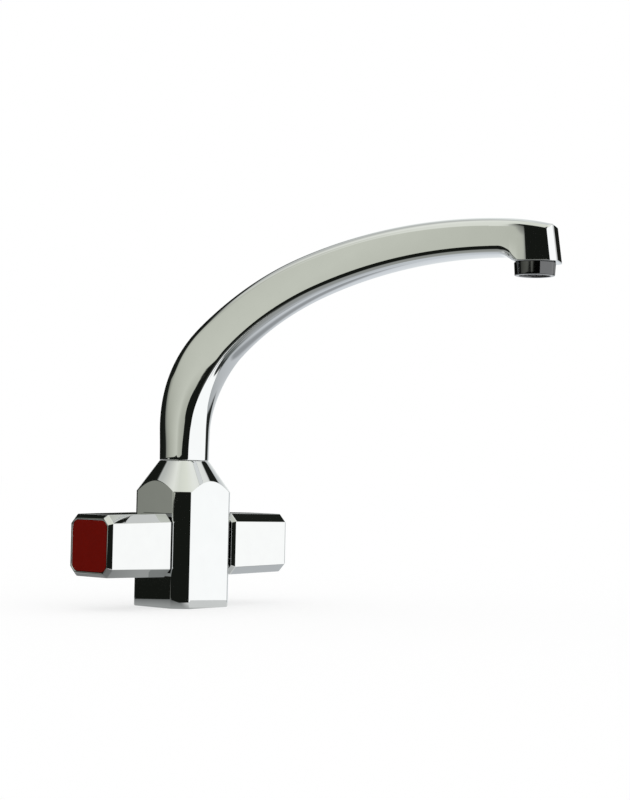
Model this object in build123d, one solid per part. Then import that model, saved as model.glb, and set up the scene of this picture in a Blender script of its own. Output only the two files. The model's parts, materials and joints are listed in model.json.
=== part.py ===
from build123d import *
import math
import os

os.makedirs("parts", exist_ok=True)

# Two handle kitchen mixer tap. Millimetres, Z up. The origin is the centre of the body's underside,
# where it stands on the sink deck. -Y is the front. The hot handle is at -X and the cold one at +X.

# ---------------------------------------------------------------- driving dimensions
# Body: a turned blank with a cone on top, cut by four flats
body_flats = 48.0
body_blank_diameter = 57.6
shoulder_height = 70.4
neck_height = 89.4
neck_diameter = 30.0
body_edge = 1.2                # radius that polishing leaves on the body's edges

# Underside of the body
hose_hole_spacing = 16.0
hose_hole_diameter = 8.92      # tapping size of M10 x 1
hose_hole_depth = 14.0
stud_hole_diameter = 6.8       # tapping size of M8
stud_hole_depth = 16.0
stud_hole_setback = 13.5
gasket_inner_diameter = 37.2
gasket_outer_diameter = 43.8
gasket_thickness = 2.0

# Waterways in the body
valve_height = 38.1
valve_bore_diameter = 20.0
port_face = 9.0                # from the body's centre to the face that a seal sits on
port_diameter = 7.0
inlet_diameter = 5.8
cross_drill_rise = 8.5
cross_drill_diameter = 4.8
mixing_chamber_diameter = 13.0
mixing_chamber_sump = 1.0      # depth of the chamber's floor below the cross drilling
nose_gap = 0.6                 # between the headwork's nose and the port face
socket_depth = 29.4
socket_diameter = 20.16

# Spout: its centre line rises straight, then bends over in three tangent arcs
spout_swing = 25.0             # degrees that the spout stands towards the cold side of straight forward
joint_gap = 0.3
spout_base_diameter = 30.3
spout_width = 27.5
spout_rise = 107.3             # height where the first bend starts
bend_radii = (79.0, 182.0)     # the third follows from the outlet's reach
bend_turns = (45.0, 22.5, 32.5)   # degrees
bend_overrun = 8.9             # how far the centre line runs on past the tip
round_length = 4.0             # length above the base that stays round
blend_length = 70.0            # length over which the round section turns square
shoulder_at = 40.0             # distances along the centre line, with the section's height at each
shoulder_depth = 31.3
haunch_at = 80.0
haunch_depth = 27.2
arch_at = 140.0
arch_depth = 25.3
tip_depth = 20.4
side_turn = 2.5                # degrees that a side arc turns either way from its middle
edge_radius = 4.8
section_spacing = 18.0         # of the sections that the skin runs through, at most
spout_wall = 2.8
tip_underside = 209.3          # height
tip_drop = 6.2                 # depth of the step under the tip
tip_drop_run = 6.0             # length of the step
tip_drop_setback = 12.0        # from the step's foot forward to the outlet's axis
tip_front = 14.8               # from the outlet's axis to the tip's lower end
tip_core = 13.2                # height of the block that fills the tip, above its underside
nose_length = 17.0             # over which the spout's sides draw in
nose_taper = 2.0               # degrees that each side turns in
nose_taper_radius = 40.0       # of the curve where a side starts to turn in
nose_radius = 6.0
nose_lean = 7.5                # degrees that the end leans out towards the bottom
nose_margin = 0.2              # how far the nose's rounded block stands outside the spout's sides

# Spigot on which the spout turns
spigot_diameter = 20.0
spigot_bore_diameter = 13.6
spigot_end_gap = 1.5           # between the spigot's lower end and the socket's floor
spigot_seat = 14.0             # depth of the spigot's upper end in the spout
seal_section = 1.7
seal_floor_diameter = 16.6
seal_depths = (21.4, 15.9)     # of the rings' middles below the top of the neck
slip_ring_depths = (26.2, 4.4)
slip_ring_width = 3.0
slip_ring_thickness = 1.0
clip_depth = 9.9
clip_wire = 1.4
clip_seat_diameter = 18.6
clip_groove_diameter = 22.4    # in the body
clip_opening = 24.0            # degrees
clip_play = 0.3                # above and below the wire, in the body's groove

# Aerator in the tip
outlet_reach = 217.0
aerator_thread_diameter = 22.9
aerator_thread_length = 9.0
aerator_skirt_diameter = 24.6
aerator_skirt_taper = 0.45
aerator_skirt_height = 7.8
aerator_edge = 0.5
aerator_bore_diameter = 20.4
aerator_lip = 0.9
aerator_gasket_thickness = 1.6
honeycomb_pitch = 2.2
honeycomb_wall = 0.5
honeycomb_rings = 3
insert_height = 9.0
screen_thickness = 0.8
screen_hole = 1.1

# Valve: distances are measured outwards from the body's centre along the handle's axis
seat_seal_thickness = 1.8
disc_thickness = 2.6
disc_diameter = 15.0
disc_port_inner = 2.2
disc_port_outer = 6.0
disc_port_angle = 80.0         # degrees
housing_nose_diameter = 17.8
thread_start = 18.5
housing_hexagon = 24.0         # across flats
housing_hexagon_thickness = 5.0
housing_neck_diameter = 16.0
housing_neck_end = 44.0
window_width = 7.0
window_length = 3.4
window_overlap = 0.5           # how far the window starts below the back of the moving disc
driver_thickness = 1.5
driver_width = 2.4
driver_depth = 1.0
driver_length = 12.0
glide_washer_thickness = 0.7
stem_diameter = 9.0
stem_seal_section = 1.4
stem_seal_places = (31.0, 36.0)
circlip_thickness = 0.8
circlip_diameter = 13.0
circlip_groove_diameter = 7.8
circlip_opening = 5.5
spline_diameter = 8.0
spline_root_diameter = 7.2
spline_teeth = 20
spline_land = 0.3              # share of a tooth's pitch that its flat top takes
spline_foot = 0.6              # share of a tooth's pitch that its root takes
spline_start = 46.0
spindle_tip_gap = 2.0          # between the spindle's end and the bottom of the bush's hole

# Handle: a square bar with chamfered long edges, slightly slimmer outwards
handle_inner_end = 26.6
handle_outer_end = 75.7
handle_inner_width = 38.2
handle_outer_width = 36.8
handle_chamfer = 5.0
handle_end_bevel = 2.4
handle_end_bevel_height = 1.65
handle_edge = 0.6
handle_edge_radius = 0.5       # of the long edges
handle_wall = 2.6
handle_end_thickness = 9.7     # of the metal between the cored inside and the end
boss_diameter = 17.0
boss_start = 46.5
bush_diameter = 12.8
bush_start = 47.0
plate_width = 31.2
plate_corner = 5.0
plate_thickness = 1.1
plate_recess = 1.3
plate_clearance = 0.15
plate_edge = 0.3
plug_diameter = 9.8
plug_length = 2.4
plug_wall = 1.2
screw_diameter = 4.0
screw_head_diameter = 7.6
screw_head_height = 2.6
screw_web = 4.6                # thickness of metal under the screw's head
screw_pocket_depth = 7.1       # of the head's seat below the handle's end
screw_length = 14.0
screw_pocket_diameter = 10.0
screw_slot_width = 1.0
screw_slot_length = 5.3
screw_slot_depth = 1.2
screw_hole_play = 0.25
screw_hole_reserve = 2.0       # depth of the tapped hole beyond the screw's end

# Clearances, and how far a cut runs on past the face that it opens in
running_gap = 0.04             # on the radius, between turned pieces that fit
face_gap = 0.05                # between the faces of pieces that slide on each other
seal_gap = 0.12                # on each side of a round seal in its groove
overrun = 1.0

sides = ("hot", "cold")
upright = (Align.CENTER, Align.CENTER, Align.MIN)


# ---------------------------------------------------------------- helpers
def rod(diameter, low, high):
    """A cylinder about Z between two heights."""
    return Pos(0, 0, low) * Cylinder(diameter / 2, high - low, align=upright)


def ring(outer, inner, low, high):
    """A flat ring about Z."""
    return rod(outer, low, high) - rod(inner, low - overrun, high + overrun)


def groove(diameter, floor, middle, half):
    """What a tool removes when it turns a groove into a shaft."""
    return ring(diameter + overrun, floor, middle - half, middle + half)


def round_seal(section, outer, height):
    """A round rubber ring about Z, by its outer diameter."""
    return Pos(0, 0, height) * Torus((outer - section) / 2, section / 2)


def bar(width, depth, low, high):
    """A box about Z between two heights."""
    return Pos(0, 0, low) * Box(width, depth, high - low, align=upright)


def drilling(diameter, start, end):
    """A straight drilled hole from one point to another."""
    axis = Vector(*end) - Vector(*start)
    return Plane(origin=start, z_dir=axis) * Cylinder(diameter / 2, axis.length, align=upright)


def on_side(piece, side):
    """Lays a piece made about Z along the handle's axis on one side of the body."""
    turn = -90 if side == "hot" else 90
    return Pos(0, 0, valve_height) * Rot(0, turn, 0) * piece


# ---------------------------------------------------------------- body
def make_mixer_body():
    outline = Polyline(
        (0, 0),
        (body_blank_diameter / 2, 0),
        (body_blank_diameter / 2, shoulder_height),
        (neck_diameter / 2, neck_height),
        (0, neck_height),
        close=True,
    )
    blank = revolve(Plane.XZ * make_face(outline), Axis.Z)
    body = blank & bar(body_flats, body_flats, 0, neck_height)

    # Polished edges: the eight upright ones, and the arches where the flats run out in the cone
    uprights = body.edges().filter_by(Axis.Z).filter_by(GeomType.LINE)
    arches = [
        edge
        for edge in body.edges().filter_by(GeomType.LINE, reverse=True)
        if shoulder_height < edge.center().Z < neck_height - body_edge
    ]
    body = fillet(list(uprights) + arches, body_edge)

    # Socket for the spout's spigot, with the groove that its spring ring opens into
    socket_floor = neck_height - socket_depth
    clip_height = neck_height - clip_depth
    clip_half = clip_wire / 2 + clip_play
    body -= rod(socket_diameter, socket_floor, neck_height + overrun)
    body -= rod(clip_groove_diameter, clip_height - clip_half, clip_height + clip_half)

    # Mixing chamber below the socket, and the drilling that joins it to both valve bores
    cross_height = valve_height + cross_drill_rise
    cross_reach = port_face + cross_drill_diameter
    chamber_floor = cross_height - cross_drill_diameter / 2 - mixing_chamber_sump
    body -= rod(mixing_chamber_diameter, chamber_floor, socket_floor + overrun)
    body -= drilling(cross_drill_diameter, (-cross_reach, 0, cross_height), (cross_reach, 0, cross_height))

    # Valve bores, ports and hose holes, the same on both sides
    for side, sign in zip(sides, (-1, 1)):
        body -= on_side(rod(valve_bore_diameter, port_face, body_flats / 2 + overrun), side)
        body -= on_side(rod(port_diameter, port_face - port_diameter, port_face + overrun), side)
        hose_top = (sign * hose_hole_spacing / 2, 0, hose_hole_depth - overrun)
        port_centre = (sign * (port_face - port_diameter / 2), 0, valve_height)
        body -= drilling(inlet_diameter, hose_top, port_centre)
        body -= Pos(sign * hose_hole_spacing / 2, 0, 0) * rod(hose_hole_diameter, -overrun, hose_hole_depth)

    # Stud hole and gasket groove in the underside
    body -= Pos(0, stud_hole_setback, 0) * rod(stud_hole_diameter, -overrun, stud_hole_depth)
    body -= ring(gasket_outer_diameter, gasket_inner_diameter, -overrun, gasket_thickness)
    return body


def make_base_gasket():
    slack = 2 * running_gap
    return ring(gasket_outer_diameter - slack, gasket_inner_diameter + slack, 0, gasket_thickness)


# ---------------------------------------------------------------- spout centre line and sections
def all_bend_radii():
    """The bends' radii. The last one is as large as it takes to bring the centre line past the tip."""
    left = tip_end() + bend_overrun
    slope = math.pi / 2
    for radius, turn in zip(bend_radii, bend_turns):
        low = slope - math.radians(turn)
        left -= radius * (math.sin(slope) - math.sin(low))
        slope = low
    low = slope - math.radians(bend_turns[-1])
    return *bend_radii, left / (math.sin(slope) - math.sin(low))


def centre_point(distance):
    """Forward place, height and slope (radians from level) at a distance along the spout's centre line."""
    base = neck_height + joint_gap
    straight = spout_rise - base
    if distance <= straight:
        return 0.0, base + distance, math.pi / 2
    forward, height, slope = 0.0, spout_rise, math.pi / 2
    left = distance - straight
    for radius, turn in zip(all_bend_radii(), bend_turns):
        angle = min(left / radius, math.radians(turn))
        forward += radius * (math.sin(slope) - math.sin(slope - angle))
        height += radius * (math.cos(slope - angle) - math.cos(slope))
        slope -= angle
        left -= radius * angle
        if left <= 0:
            break
    return forward, height, slope


def centre_length():
    """Whole length of the centre line."""
    arcs = sum(radius * math.radians(turn) for radius, turn in zip(all_bend_radii(), bend_turns))
    return spout_rise - neck_height - joint_gap + arcs


def spout_depth(distance):
    """Height of the section, square to the centre line: a smooth curve through five stations."""
    places = (0.0, shoulder_at, haunch_at, arch_at, centre_length())
    depths = (spout_base_diameter, shoulder_depth, haunch_depth, arch_depth, tip_depth)
    slopes = [0.0]
    for i in range(1, len(places) - 1):
        slopes.append((depths[i + 1] - depths[i - 1]) / (places[i + 1] - places[i - 1]))
    slopes.append((depths[-1] - depths[-2]) / (places[-1] - places[-2]))
    for i in range(len(places) - 1):
        if distance <= places[i + 1]:
            break
    span = places[i + 1] - places[i]
    share = min(1.0, (distance - places[i]) / span)
    start = depths[i] + slopes[i] * span * share * (1 - share) ** 2
    rise = (depths[i + 1] - depths[i]) * share * share * (3 - 2 * share)
    return start + rise - slopes[i + 1] * span * share * share * (1 - share)


def squareness(distance):
    """0 where the section is a circle, 1 where it is a square with rounded corners."""
    share = (distance - round_length) / blend_length
    share = max(0.0, min(1.0, share))
    return share * share * (3 - 2 * share)


def section_face(distance, inset):
    """The spout's section at a distance along the centre line, set in by a wall. Its eight arcs meet
    smoothly: four long side arcs, each turning by the same angle, and four corner arcs between them."""
    forward, height, slope = centre_point(distance)
    square = squareness(distance)
    half_width = (spout_base_diameter * (1 - square) + spout_width * square) / 2 - inset
    half_depth = spout_depth(distance) / 2 - inset
    corner = half_width * (1 - square) + max(edge_radius - inset, edge_radius / 3) * square
    turn = math.radians(22.5 * (1 - square) + side_turn * square)
    sine, cosine = math.sin(turn), math.cos(turn)

    # Radii of the side and top arcs, from where they meet the corner arc
    width_left = half_width - corner * (cosine - sine)
    depth_left = half_depth - corner * (cosine - sine)
    spread = sine * sine - (1 - cosine) * (1 - cosine)
    side_radius = (sine * depth_left - (1 - cosine) * width_left) / spread
    top_radius = (sine * width_left - (1 - cosine) * depth_left) / spread

    side_end = (half_width - side_radius * (1 - cosine), side_radius * sine)
    top_end = (top_radius * sine, half_depth - top_radius * (1 - cosine))
    diagonal = math.sqrt(0.5)
    corner_centre = (side_end[0] - corner * cosine, side_end[1] - corner * sine)
    corner_middle = (corner_centre[0] + corner * diagonal, corner_centre[1] + corner * diagonal)

    # A quarter of the outline, from the middle of the side to the middle of the top; the rest mirrors it
    points = [(half_width, 0), side_end, corner_middle, top_end, (0, half_depth)]
    points += [(-x, y) for x, y in reversed(points[:-1])]
    points += [(x, -y) for x, y in reversed(points[1:-1])]
    count = len(points)
    arcs = [ThreePointArc(points[i - 1], points[i], points[(i + 1) % count]) for i in range(0, count, 2)]
    place = Plane(
        origin=spout_ahead * forward + Vector(0, 0, height),
        x_dir=spout_across,
        z_dir=spout_ahead * math.cos(slope) + Vector(0, 0, math.sin(slope)),
    )
    return place * make_face(arcs)


def spout_loft(start, end, inset):
    """A smooth skin through evenly spaced sections."""
    steps = math.ceil((end - start) / section_spacing)
    return loft([section_face(start + (end - start) * step / steps, inset) for step in range(steps + 1)])


def side_outline(points, width):
    """A block across the spout, from an outline in the spout's own upright plane."""
    plane = Plane(origin=(0, 0, 0), x_dir=spout_ahead, z_dir=spout_across)
    return extrude(plane * make_face(Polyline(*points, close=True)), width / 2, both=True)


def at_outlet(piece):
    """Moves a piece made about Z to the aerator's place in the tip."""
    return Location(spout_ahead * outlet_reach) * piece


def make_tip_block():
    """The solid tip: it drops in a short slope to a level underside."""
    drop_end = outlet_reach - tip_drop_setback
    drop_start = drop_end - tip_drop_run
    end_at_core = tip_end() - tip_core * math.tan(math.radians(nose_lean))
    outline = (
        (drop_start, tip_underside + tip_drop),
        (drop_end, tip_underside),
        (tip_end(), tip_underside),
        (end_at_core, tip_underside + tip_core),
        (drop_start, tip_underside + tip_core),
    )
    return side_outline(outline, spout_width)


def nose_plan(level, rear, inset):
    """The tip's rounded outline from above, at one height, set in by a wall: straight sides that turn
    in a little towards round corners."""
    taper = math.radians(nose_taper)
    half = spout_width / 2 + nose_margin - inset
    front = tip_end() - (level - tip_underside) * math.tan(math.radians(nose_lean)) - inset
    turn_in = front - nose_length + inset * (1 - math.tan(taper / 2))
    half_at_front = half - (front - turn_in) * math.tan(taper)
    points = ((rear + inset, -half), (turn_in, -half), (front, -half_at_front))
    points += tuple((x, -y) for x, y in reversed(points))
    plan = make_face(Polyline(*points, close=True))
    corners = plan.vertices().sort_by(Axis.X)
    plan = fillet(corners[-2:], nose_radius - inset)
    bends = plan.vertices().sort_by(Axis.X)[2:4]
    plan = fillet(bends, nose_taper_radius)
    return Plane(origin=(0, 0, level), x_dir=spout_ahead, z_dir=(0, 0, 1)) * plan


def make_nose_envelope(inset):
    """Room for all of the spout behind the tip, and for a rounded, leaning nose, set in by a wall."""
    rear = outlet_reach - tip_drop_setback - 2 * nose_length
    seam = rear + nose_radius
    low = tip_underside - overrun
    high = tip_underside + 2 * tip_depth
    nose = loft([nose_plan(low, rear, inset), nose_plan(high, rear, inset)], ruled=True)
    back = -spout_base_diameter
    outline = ((back, neck_height), (seam, neck_height), (seam, high), (back, high))
    return nose + side_outline(outline, 2 * spout_base_diameter)


def make_spout():
    spout = spout_loft(0, centre_length(), 0) + make_tip_block()
    spout &= make_nose_envelope(0)

    # Waterway: a seat for the spigot, the cast hollow, and the bore that takes the aerator
    base = neck_height + joint_gap
    spout -= rod(spigot_diameter + 2 * running_gap, base - overrun, base + spigot_seat)
    spout -= spout_loft(spigot_seat - overrun, centre_length(), spout_wall) & make_nose_envelope(spout_wall)
    bore_top = tip_underside + aerator_thread_length + aerator_gasket_thickness
    return spout - at_outlet(rod(aerator_thread_diameter, tip_underside - overrun, bore_top))


def make_spigot():
    bottom = neck_height - socket_depth + spigot_end_gap
    top = neck_height + joint_gap + spigot_seat - face_gap
    spigot = ring(spigot_diameter, spigot_bore_diameter, bottom, top)
    for depth in seal_depths:
        seal_half = seal_section / 2 + seal_gap
        spigot -= groove(spigot_diameter, seal_floor_diameter, neck_height - depth, seal_half)
    slip_floor = socket_diameter - 2 * slip_ring_thickness - 4 * running_gap
    for depth in slip_ring_depths:
        slip_half = slip_ring_width / 2 + face_gap
        spigot -= groove(spigot_diameter, slip_floor, neck_height - depth, slip_half)
    clip_half = clip_wire / 2 + face_gap
    return spigot - groove(spigot_diameter, clip_seat_diameter, neck_height - clip_depth, clip_half)


def make_spigot_seals():
    outer = socket_diameter - running_gap
    return Compound([round_seal(seal_section, outer, neck_height - depth) for depth in seal_depths])


def make_slip_rings():
    outer = socket_diameter - 2 * running_gap
    inner = outer - 2 * slip_ring_thickness
    half = slip_ring_width / 2
    middles = [neck_height - depth for depth in slip_ring_depths]
    return Compound([ring(outer, inner, middle - half, middle + half) for middle in middles])


def make_spout_clip():
    path_diameter = clip_seat_diameter + clip_wire + 2 * running_gap
    opening = path_diameter * math.sin(math.radians(clip_opening / 2))
    wire = Torus(path_diameter / 2, clip_wire / 2)
    cut = Pos(0, path_diameter / 2, 0) * bar(opening, 3 * clip_wire, -clip_wire, clip_wire)
    return Pos(0, 0, neck_height - clip_depth) * (wire - cut)


# ---------------------------------------------------------------- aerator
def make_aerator_housing():
    top = tip_underside - face_gap
    bottom = tip_underside - aerator_skirt_height
    sleeve_top = tip_underside + aerator_thread_length
    skirt = aerator_skirt_diameter / 2
    sleeve = aerator_thread_diameter / 2 - running_gap
    bore = aerator_bore_diameter / 2
    outline = Polyline(
        (bore - aerator_lip, bottom),
        (skirt - aerator_skirt_taper - aerator_edge, bottom),
        (skirt - aerator_skirt_taper, bottom + aerator_edge),
        (skirt, top),
        (sleeve, top),
        (sleeve, sleeve_top),
        (bore, sleeve_top),
        (bore, bottom + aerator_lip),
        (bore - aerator_lip, bottom + aerator_lip),
        close=True,
    )
    return at_outlet(revolve(Plane.XZ * make_face(outline), Axis.Z))


def make_aerator_gasket():
    low = tip_underside + aerator_thread_length
    outer = aerator_thread_diameter - 2 * running_gap
    inner = aerator_bore_diameter - 2 * aerator_lip
    return at_outlet(ring(outer, inner, low, low + aerator_gasket_thickness))


def make_aerator_insert():
    low = tip_underside - aerator_skirt_height + aerator_lip
    insert = rod(aerator_bore_diameter - 2 * running_gap, low, low + insert_height)
    cell = RegularPolygon((honeycomb_pitch - honeycomb_wall) / 2, 6, major_radius=False)
    across = 2 * honeycomb_rings + 1
    reach = honeycomb_pitch * (honeycomb_rings + 0.3)
    places = HexLocations(honeycomb_pitch / 2, across, across)
    cells = Sketch() + [place * cell for place in places if place.position.length < reach]
    return at_outlet(insert - extrude(Pos(0, 0, low - overrun) * cells, insert_height + 2 * overrun))


def make_aerator_screen():
    low = tip_underside - aerator_skirt_height + aerator_lip + insert_height
    high = low + screen_thickness
    screen = rod(aerator_bore_diameter - 2 * running_gap, low, high)
    hole = bar(screen_hole, screen_hole, low - overrun, high + overrun)
    places = range(-honeycomb_rings, honeycomb_rings + 1)
    holes = [
        Pos(x * honeycomb_pitch, y * honeycomb_pitch, 0) * hole
        for x in places
        for y in places
        if math.hypot(x, y) < honeycomb_rings + 0.3
    ]
    return at_outlet(screen - holes)


# ---------------------------------------------------------------- valves
def disc_ports(low, high):
    """Two opposite sector openings through a ceramic disc."""
    half = math.radians(disc_port_angle / 2)
    inner = Vector(disc_port_inner * math.cos(half), disc_port_inner * math.sin(half))
    outer = Vector(disc_port_outer * math.cos(half), disc_port_outer * math.sin(half))
    inner_low = Vector(inner.X, -inner.Y)
    outer_low = Vector(outer.X, -outer.Y)
    sector = make_face(
        [
            Line(inner, outer),
            ThreePointArc(outer, (disc_port_outer, 0), outer_low),
            Line(outer_low, inner_low),
            ThreePointArc(inner_low, (disc_port_inner, 0), inner),
        ]
    )
    port = extrude(Pos(0, 0, low) * sector, high - low)
    return port + Rot(0, 0, 180) * port


def make_valve_housing():
    flat = body_flats / 2
    hexagon = RegularPolygon(housing_hexagon / 2, 6, major_radius=False)
    housing = rod(housing_nose_diameter, port_face + nose_gap, flat)
    housing += rod(valve_bore_diameter - 2 * running_gap, thread_start, flat)
    housing += extrude(Pos(0, 0, flat) * hexagon, housing_hexagon_thickness)
    housing += rod(housing_neck_diameter, flat, housing_neck_end)

    # Inside: the nose holds the two discs, and the stem runs out through the neck
    housing -= rod(disc_diameter + 2 * running_gap, port_face, inner_shoulder())
    housing -= rod(stem_diameter + 2 * running_gap, port_face, housing_neck_end + overrun)
    seal_floor = valve_bore_diameter - 2 * seal_section
    housing -= groove(valve_bore_diameter, seal_floor, flat - seal_section / 2, seal_section / 2)
    window_start = disc_back() - window_overlap
    return housing - bar(window_width, 2 * housing_nose_diameter, window_start, window_start + window_length)


def make_seat_seal():
    return ring(disc_diameter, disc_port_outer + disc_port_inner, port_face, port_face + seat_seal_thickness)


def make_fixed_disc():
    low = port_face + seat_seal_thickness
    disc = rod(disc_diameter, low, disc_face())
    return disc - disc_ports(low - overrun, disc_face() + overrun)


def make_housing_o_ring():
    outer = valve_bore_diameter - running_gap
    return round_seal(seal_section - 2 * running_gap, outer, (body_flats - seal_section) / 2)


def make_moving_disc():
    low = disc_face() + face_gap
    disc = rod(disc_diameter, low, disc_back())
    slot_floor = disc_back() - driver_depth - face_gap
    disc -= bar(driver_width + 2 * running_gap, disc_diameter + overrun, slot_floor, disc_back() + overrun)
    return disc - Rot(0, 0, 90) * disc_ports(low - overrun, disc_back() + overrun)


def star(outer, root):
    """A toothed outline for a spline: straight flanks between narrow tops and narrow roots."""
    points = []
    for tooth in range(spline_teeth):
        for share, diameter in (
            (-spline_foot / 2, root),
            (-spline_land / 2, outer),
            (spline_land / 2, outer),
            (spline_foot / 2, root),
        ):
            angle = 2 * math.pi * (tooth + share) / spline_teeth
            points.append((diameter / 2 * math.cos(angle), diameter / 2 * math.sin(angle)))
    return make_face(Polyline(*points, close=True))


def make_spindle():
    # A round driver whose tongue turns the moving disc, then the sealed stem and the splined end
    spindle = rod(disc_diameter - 2 * running_gap, disc_back(), disc_back() + driver_thickness)
    spindle += bar(driver_width, driver_length, disc_back() - driver_depth, disc_back())
    spindle += rod(stem_diameter, disc_back(), spline_start)
    spline = star(spline_diameter, spline_root_diameter)
    spindle_end = bush_end() - spindle_tip_gap
    spindle += extrude(Pos(0, 0, spline_start) * spline, spindle_end - spline_start)

    seal_floor = stem_diameter - 2 * stem_seal_section
    for place in stem_seal_places:
        spindle -= groove(stem_diameter, seal_floor, place, stem_seal_section / 2 + seal_gap)
    clip_middle = circlip_start() + circlip_thickness / 2
    clip_half = (circlip_thickness + face_gap) / 2
    spindle -= groove(stem_diameter, circlip_groove_diameter, clip_middle, clip_half)
    hole_floor = screw_seat() - screw_length - screw_hole_reserve
    return spindle - rod(screw_diameter + 2 * running_gap, hole_floor, spindle_end + overrun)


def make_glide_washer():
    low = disc_back() + driver_thickness
    outer = disc_diameter - 4 * running_gap
    return ring(outer, stem_diameter + 2 * running_gap, low, low + glide_washer_thickness)


def make_spindle_o_rings():
    outer = stem_diameter + running_gap
    section = stem_seal_section - running_gap
    return Compound([round_seal(section, outer, place) for place in stem_seal_places])


def make_spindle_circlip():
    low = circlip_start()
    high = low + circlip_thickness
    clip = ring(circlip_diameter, circlip_groove_diameter + 2 * running_gap, low, high)
    opening = bar(circlip_opening, circlip_diameter, low - overrun, high + overrun)
    return clip - Pos(0, circlip_diameter / 2, 0) * opening


# ---------------------------------------------------------------- handles
def chamfered_square(width, cut, level):
    """A square outline with its four corners cut off, at a distance along the handle."""
    half = width / 2
    near = half - cut
    corners = [(half, -near), (half, near), (near, half), (-near, half)]
    corners += [(-x, -y) for x, y in corners]
    return Pos(0, 0, level) * make_face(Polyline(*corners, close=True))


def inset_cut(inset):
    """The corner cut of the handle's outline once that is set in, which keeps its faces parallel."""
    return handle_chamfer - inset * (2 - math.sqrt(2))


def handle_width(level):
    """Width over the flats at a distance along the handle, slimming outwards."""
    share = (level - handle_inner_end) / (handle_outer_end - handle_inner_end)
    return handle_inner_width + (handle_outer_width - handle_inner_width) * share


def handle_length(low, high, low_inset, high_inset):
    """A stretch of the tapered bar, set in by so much at each of its ends."""
    outlines = [
        chamfered_square(handle_width(level) - 2 * inset, inset_cut(inset), level)
        for level, inset in ((low, low_inset), (high, high_inset))
    ]
    return loft(outlines, ruled=True)


def make_handle():
    edge_end = handle_inner_end + handle_edge
    bevel_start = handle_outer_end - handle_end_bevel
    core_end = handle_outer_end - handle_end_thickness
    handle = handle_length(handle_inner_end, edge_end, handle_edge, 0)
    handle += handle_length(edge_end, bevel_start, 0, 0)
    handle += handle_length(bevel_start, handle_outer_end, 0, handle_end_bevel_height)
    long_edges = [edge for edge in handle.edges() if edge.length > (bevel_start - edge_end) * 0.9]
    handle = fillet(long_edges, handle_edge_radius)

    # The cored inside, with the boss that holds the spline bush
    handle -= handle_length(handle_inner_end - overrun, core_end, handle_wall, handle_wall)
    handle += rod(boss_diameter, boss_start, core_end)
    handle -= rod(bush_diameter, boss_start - overrun, bush_end())
    handle -= rod(screw_diameter + 2 * screw_hole_play, bush_end() - overrun, screw_seat() + overrun)
    handle -= rod(screw_pocket_diameter, screw_seat(), handle_outer_end)

    # The recess in the end for the index plate
    opening = plate_width + 2 * plate_clearance
    recess = RectangleRounded(opening, opening, plate_corner + plate_clearance)
    return handle - extrude(Pos(0, 0, handle_outer_end - plate_recess) * recess, plate_recess + overrun)


def make_spline_bush():
    bush = rod(bush_diameter - 2 * running_gap, bush_start, bush_end() - face_gap)
    spline = star(spline_diameter + 2 * running_gap, spline_root_diameter + 2 * running_gap)
    return bush - extrude(Pos(0, 0, bush_start - overrun) * spline, bush_end() - bush_start + 2 * overrun)


def make_handle_screw():
    head_top = screw_seat() + screw_head_height
    screw = rod(screw_head_diameter, screw_seat(), head_top)
    screw += rod(screw_diameter, screw_seat() - screw_length, screw_seat())
    slot = bar(screw_slot_width, screw_slot_length, head_top - screw_slot_depth, head_top + overrun)
    return screw - slot - Rot(0, 0, 90) * slot


def make_index_plate():
    low = handle_outer_end - plate_recess
    outline = RectangleRounded(plate_width, plate_width, plate_corner)
    plate = extrude(Pos(0, 0, low) * outline, plate_thickness)
    plate = chamfer(plate.faces().sort_by(Axis.Z)[-1].edges(), plate_edge)
    return plate + ring(plug_diameter, plug_diameter - 2 * plug_wall, low - plug_length, low)


# ---------------------------------------------------------------- places shared by several pieces
def disc_face():
    """Where the two ceramic discs meet."""
    return port_face + seat_seal_thickness + disc_thickness


def disc_back():
    """The back of the moving disc, which the spindle's driver bears on."""
    return disc_face() + face_gap + disc_thickness


def inner_shoulder():
    """Where the headwork's inside steps down to the stem."""
    return disc_back() + driver_thickness + glide_washer_thickness + face_gap


def screw_seat():
    """Where the screw's head bears on the handle."""
    return handle_outer_end - screw_pocket_depth


def bush_end():
    """The bottom of the hole in the handle that takes the spline bush."""
    return screw_seat() - screw_web


def tip_end():
    """How far forward the lower edge of the spout's end lies."""
    return outlet_reach + tip_front


def circlip_start():
    """The side of the spindle's spring clip that runs on the end of the headwork."""
    return housing_neck_end + face_gap


swing = math.radians(spout_swing)
spout_ahead = Vector(math.sin(swing), -math.cos(swing), 0)
spout_across = Vector(-math.cos(swing), -math.sin(swing), 0)

pieces = {
    "mixer_body": make_mixer_body(),
    "base_gasket": make_base_gasket(),
    "spout": make_spout(),
    "spout_spigot": make_spigot(),
    "spigot_o_rings": make_spigot_seals(),
    "spigot_slip_rings": make_slip_rings(),
    "spout_clip": make_spout_clip(),
    "aerator_housing": make_aerator_housing(),
    "aerator_gasket": make_aerator_gasket(),
    "aerator_insert": make_aerator_insert(),
    "aerator_screen": make_aerator_screen(),
}
side_pieces = {
    "valve_housing": make_valve_housing(),
    "seat_seal": make_seat_seal(),
    "fixed_disc": make_fixed_disc(),
    "housing_o_ring": make_housing_o_ring(),
    "moving_disc": make_moving_disc(),
    "spindle": make_spindle(),
    "glide_washer": make_glide_washer(),
    "spindle_o_rings": make_spindle_o_rings(),
    "spindle_circlip": make_spindle_circlip(),
    "handle": make_handle(),
    "spline_bush": make_spline_bush(),
    "handle_screw": make_handle_screw(),
    "index_plate": make_index_plate(),
}
for side in sides:
    for name, piece in side_pieces.items():
        pieces[f"{side}_{name}"] = on_side(piece, side)

for name, piece in pieces.items():
    export_step(piece, f"parts/{name}.step")
    print(name, round(piece.volume, 1))
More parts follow.
